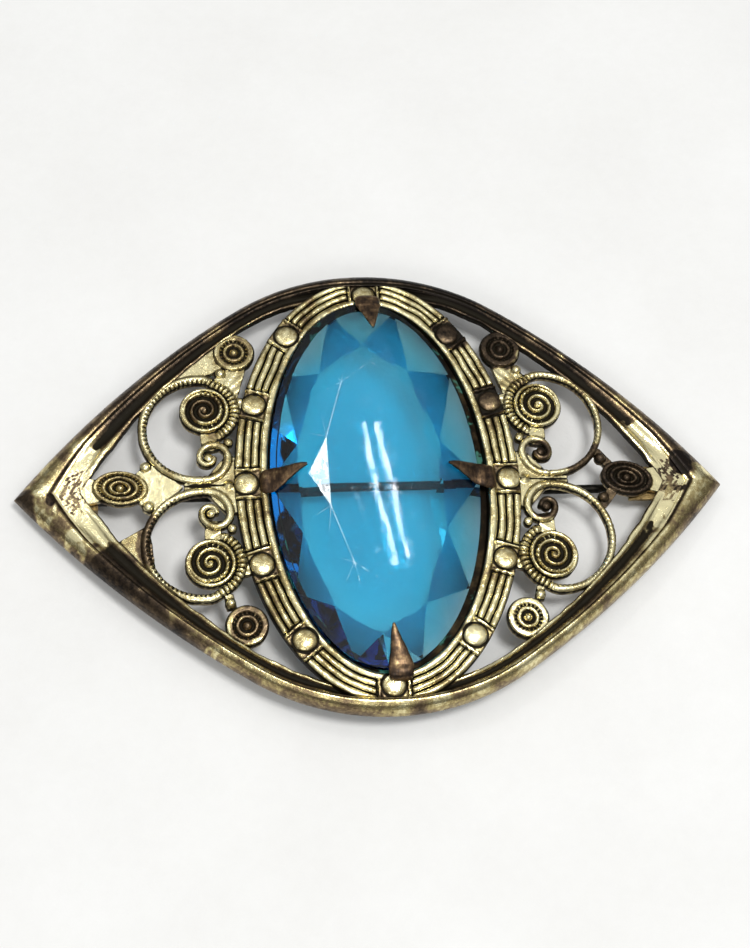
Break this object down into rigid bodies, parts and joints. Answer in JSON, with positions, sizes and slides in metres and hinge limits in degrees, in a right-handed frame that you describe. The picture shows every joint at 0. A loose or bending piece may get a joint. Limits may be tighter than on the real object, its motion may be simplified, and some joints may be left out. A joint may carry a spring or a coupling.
{
  "type": "brooch",
  "caption": "Pointed-oval openwork brooch of tarnished gilt brass with an oval faceted blue glass stone held by claws, and a hinged pin with a C catch behind.",
  "frame": {"origin": "under the middle of the front, at the height of the lowest metal (the hinge ears and the catch)", "axes": "+X along the length towards the catch, +Y towards the brooch's top, +Z out of the face"},
  "size_m": [0.064, 0.0424, 0.0067],
  "materials": {
    "tarnished_rim": "worn gilding over brown and black tarnish",
    "gilt_front": "pale gilding, bright on the high spots and dark in the recesses",
    "back_brass": "aged raw brass with dull spots",
    "brown_claw": "coppery brown, satin",
    "pin_metal": "dull grey wire",
    "blue_glass": "polished clear blue, lightly scratched"
  },
  "bodies": {
    "front": {"rim_frame": "tarnished_rim", "oval_band": "gilt_front", "scroll_upper_right": "gilt_front", "scroll_upper_left": "gilt_front", "scroll_lower_right": "gilt_front", "scroll_lower_left": "gilt_front", "side_rosette_right": "gilt_front", "side_rosette_left": "gilt_front", "stone_seat": "back_brass", "glass_stone": "blue_glass", "claw_top": "brown_claw", "claw_right": "brown_claw", "claw_bottom": "brown_claw", "claw_left": "brown_claw", "hinge_plate": "back_brass", "hinge_bracket": "back_brass", "hinge_rivet": "pin_metal", "catch_plate": "back_brass", "c_catch": "back_brass"},
    "eye": {"pin_eye": "back_brass"},
    "stem": {"pin_stem": "pin_metal"}
  },
  "joints": [
    {"name": "stem_swing", "type": "hinge", "parent": "front", "child": "eye", "pos_m": [-0.0259, 0, 0.0012], "axis": [0, 1, 0], "range_deg": [0, 85]},
    {"name": "stem_flex", "type": "hinge", "parent": "eye", "child": "stem", "pos_m": [-0.0239, 0, 0.0012], "axis": [0, 0, -1], "range_deg": [0, 2.5]}
  ]
}
